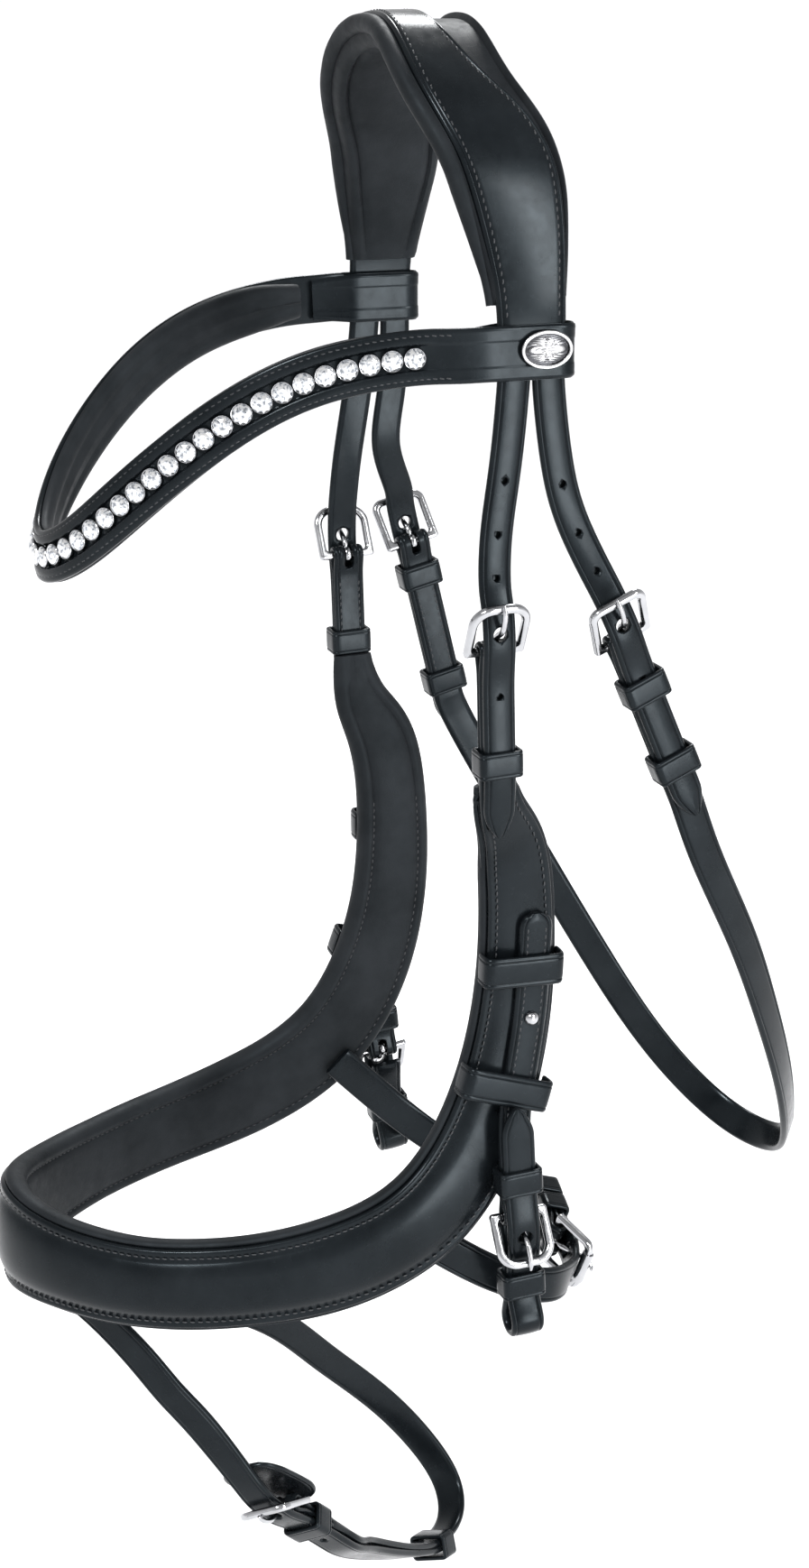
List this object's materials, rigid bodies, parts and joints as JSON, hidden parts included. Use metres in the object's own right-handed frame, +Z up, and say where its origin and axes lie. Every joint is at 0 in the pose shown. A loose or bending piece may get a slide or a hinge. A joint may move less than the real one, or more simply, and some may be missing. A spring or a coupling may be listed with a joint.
{
  "type": "snaffle bridle",
  "caption": "Leather riding bridle with padded headpiece, shaped crystal browband, joined cheek and noseband, throatlatch, chin strap, flash strap and straps that hold a bit ring.",
  "frame": {"origin": "poll seat: the middle of the underside of the headpiece, where the bridle hangs on the poll or a bridle hook", "axes": "+Z up, -Y towards the horse's nose, +X towards the horse's left"},
  "size_m": [0.1842, 0.3216, 0.6207],
  "materials": {
    "leather": "smooth polished black bridle leather",
    "soft_leather": "soft matte padded black leather",
    "steel": "polished stainless steel",
    "badge_metal": "polished metal with a dark recess",
    "crystal": "faceted clear crystals in metal cups"
  },
  "bodies": {
    "headpiece": {"headpiece_leather": "leather", "headpiece_pad": "soft_leather"},
    "browband": {"browband_leather": "leather", "browband_pad": "soft_leather", "browband_loop_left": "leather", "browband_loop_right": "leather", "badge": "badge_metal", "crystal_strip": "crystal"},
    "throatlatch": {"throat_billet_left": "leather", "throat_billet_right": "leather", "throat_frame_left": "steel", "throat_frame_right": "steel", "throat_keeper_left": "leather", "throat_keeper_right": "leather", "throat_strap": "leather"},
    "flash": {"flash_frame": "steel", "flash_guard": "leather", "flash_keeper_outer": "leather", "flash_strap": "leather"},
    "chin_strap": {"chin_frame": "steel", "chin_keeper_outer": "leather", "chin_strap_far": "leather", "chin_strap_near": "leather"},
    "bit_tongue_left": {"bit_tongue_left": "steel"},
    "bit_tongue_right": {"bit_tongue_right": "steel"},
    "cheek_tongue_left": {"cheek_tongue_left": "steel"},
    "cheek_tongue_right": {"cheek_tongue_right": "steel"},
    "chin_tongue": {"chin_tongue": "steel"},
    "flash_tongue": {"flash_tongue": "steel"},
    "throat_tongue_left": {"throat_tongue_left": "steel"},
    "throat_tongue_right": {"throat_tongue_right": "steel"},
    "cheek_keeper_left": {"cheek_keeper_left": "leather"},
    "cheek_keeper_right": {"cheek_keeper_right": "leather"},
    "bit_keeper_upper_left": {"bit_keeper_upper_left": "leather"},
    "bit_keeper_upper_right": {"bit_keeper_upper_right": "leather"},
    "throat_keeper_upper_left": {"throat_keeper_upper_left": "leather"},
    "throat_keeper_upper_right": {"throat_keeper_upper_right": "leather"},
    "flash_keeper_inner": {"flash_keeper_inner": "leather"},
    "chin_keeper_inner": {"chin_keeper_inner": "leather"},
    "chin_roller": {"chin_roller": "steel"},
    "noseband": {"bit_frame_left": "steel", "bit_frame_right": "steel", "bit_hanger_left": "leather", "bit_hanger_right": "leather", "bit_keeper_lower_left": "leather", "bit_keeper_lower_right": "leather", "bit_strap_left": "leather", "bit_strap_right": "leather", "cheek_billet_left": "leather", "cheek_billet_right": "leather", "cheek_frame_left": "steel", "cheek_frame_right": "steel", "flash_loop": "leather", "hook_studs": "steel", "noseband_leather": "leather", "noseband_pad": "soft_leather", "side_keeper_lower_left": "leather", "side_keeper_lower_right": "leather", "side_keeper_upper_left": "leather", "side_keeper_upper_right": "leather"}
  },
  "joints": [
    {"name": "browband_slide", "type": "slide", "parent": "headpiece", "child": "browband", "axis": [0, 0, -1], "range_m": [-0.002, 0.003]},
    {"name": "noseband_swing", "type": "hinge", "parent": "headpiece", "child": "noseband", "pos_m": [0, 0.011, -0.1028], "axis": [1, 0, 0], "range_deg": [-10, 0.5]},
    {"name": "throatlatch_swing", "type": "hinge", "parent": "headpiece", "child": "throatlatch", "pos_m": [0, 0.011, -0.1028], "axis": [1, 0, 0], "range_deg": [-0.5, 8]},
    {"name": "flash_swing", "type": "hinge", "parent": "noseband", "child": "flash", "pos_m": [0, -0.1475, -0.4365], "axis": [1, 0, 0], "range_deg": [-3, 5]},
    {"name": "chin_strap_swing", "type": "hinge", "parent": "noseband", "child": "chin_strap", "pos_m": [0, -0.018, -0.404], "axis": [1, 0, 0], "range_deg": [-3, 3]},
    {"name": "bit_tongue_left_lift", "type": "hinge", "parent": "noseband", "child": "bit_tongue_left", "pos_m": [0.0795, 0.0085, -0.401], "axis": [0.002, -0.9992, -0.0399], "range_deg": [0, 4]},
    {"name": "bit_tongue_right_lift", "type": "hinge", "parent": "noseband", "child": "bit_tongue_right", "pos_m": [-0.0795, 0.0125, -0.403], "axis": [0.0059, 0.9929, 0.1189], "range_deg": [0, 4]},
    {"name": "cheek_tongue_left_lift", "type": "hinge", "parent": "noseband", "child": "cheek_tongue_left", "pos_m": [0.0765, -0.002, -0.191], "axis": [-0.0006, 0.9996, 0.03], "range_deg": [0, 4]},
    {"name": "cheek_tongue_right_lift", "type": "hinge", "parent": "noseband", "child": "cheek_tongue_right", "pos_m": [-0.0765, -0.002, -0.191], "axis": [-0.0006, -0.9996, -0.03], "range_deg": [0, 4]},
    {"name": "chin_tongue_lift", "type": "hinge", "parent": "chin_strap", "child": "chin_tongue", "pos_m": [0.032, 0.0435, -0.441], "axis": [0.2017, 0.251, 0.9467], "range_deg": [0, 4]},
    {"name": "flash_tongue_lift", "type": "hinge", "parent": "flash", "child": "flash_tongue", "pos_m": [0.0415, -0.069, -0.529], "axis": [0.5605, 0.6995, 0.4433], "range_deg": [0, 4]},
    {"name": "throat_tongue_left_lift", "type": "hinge", "parent": "throatlatch", "child": "throat_tongue_left", "pos_m": [0.079, 0.044, -0.1904], "axis": [0, 0.9164, 0.4002], "range_deg": [0, 4]},
    {"name": "throat_tongue_right_lift", "type": "hinge", "parent": "throatlatch", "child": "throat_tongue_right", "pos_m": [-0.079, 0.026, -0.1885], "axis": [0, -0.9718, -0.2359], "range_deg": [0, 4]},
    {"name": "cheek_keeper_left_slide", "type": "slide", "parent": "noseband", "child": "cheek_keeper_left", "axis": [0, 0.03, -0.9996], "range_m": [-0.0015, 0]},
    {"name": "cheek_keeper_right_slide", "type": "slide", "parent": "noseband", "child": "cheek_keeper_right", "axis": [0, 0.03, -0.9996], "range_m": [-0.0015, 0]},
    {"name": "bit_keeper_upper_left_slide", "type": "slide", "parent": "noseband", "child": "bit_keeper_upper_left", "axis": [-0.0499, -0.0399, 0.998], "range_m": [0, 0.0015]},
    {"name": "bit_keeper_upper_right_slide", "type": "slide", "parent": "noseband", "child": "bit_keeper_upper_right", "axis": [0.0496, -0.119, 0.9917], "range_m": [0, 0.0015]},
    {"name": "throat_keeper_upper_left_slide", "type": "slide", "parent": "throatlatch", "child": "throat_keeper_upper_left", "axis": [0, 0.4002, -0.9164], "range_m": [-0.001, 0.002]},
    {"name": "throat_keeper_upper_right_slide", "type": "slide", "parent": "throatlatch", "child": "throat_keeper_upper_right", "axis": [0, 0.2359, -0.9718], "range_m": [0, 0.002]},
    {"name": "flash_keeper_inner_slide", "type": "slide", "parent": "flash", "child": "flash_keeper_inner", "axis": [-0.2702, 0.6605, -0.7005], "range_m": [-0.001, 0.002]},
    {"name": "chin_keeper_inner_slide", "type": "slide", "parent": "chin_strap", "child": "chin_keeper_inner", "axis": [-0.9728, 0.1638, 0.1638], "range_m": [0, 0.0015]},
    {"name": "chin_roller_spin", "type": "hinge", "parent": "chin_strap", "child": "chin_roller", "pos_m": [0.04848, 0.04881, -0.44592], "axis": [0.2017, 0.251, 0.9467], "continuous": true}
  ]
}
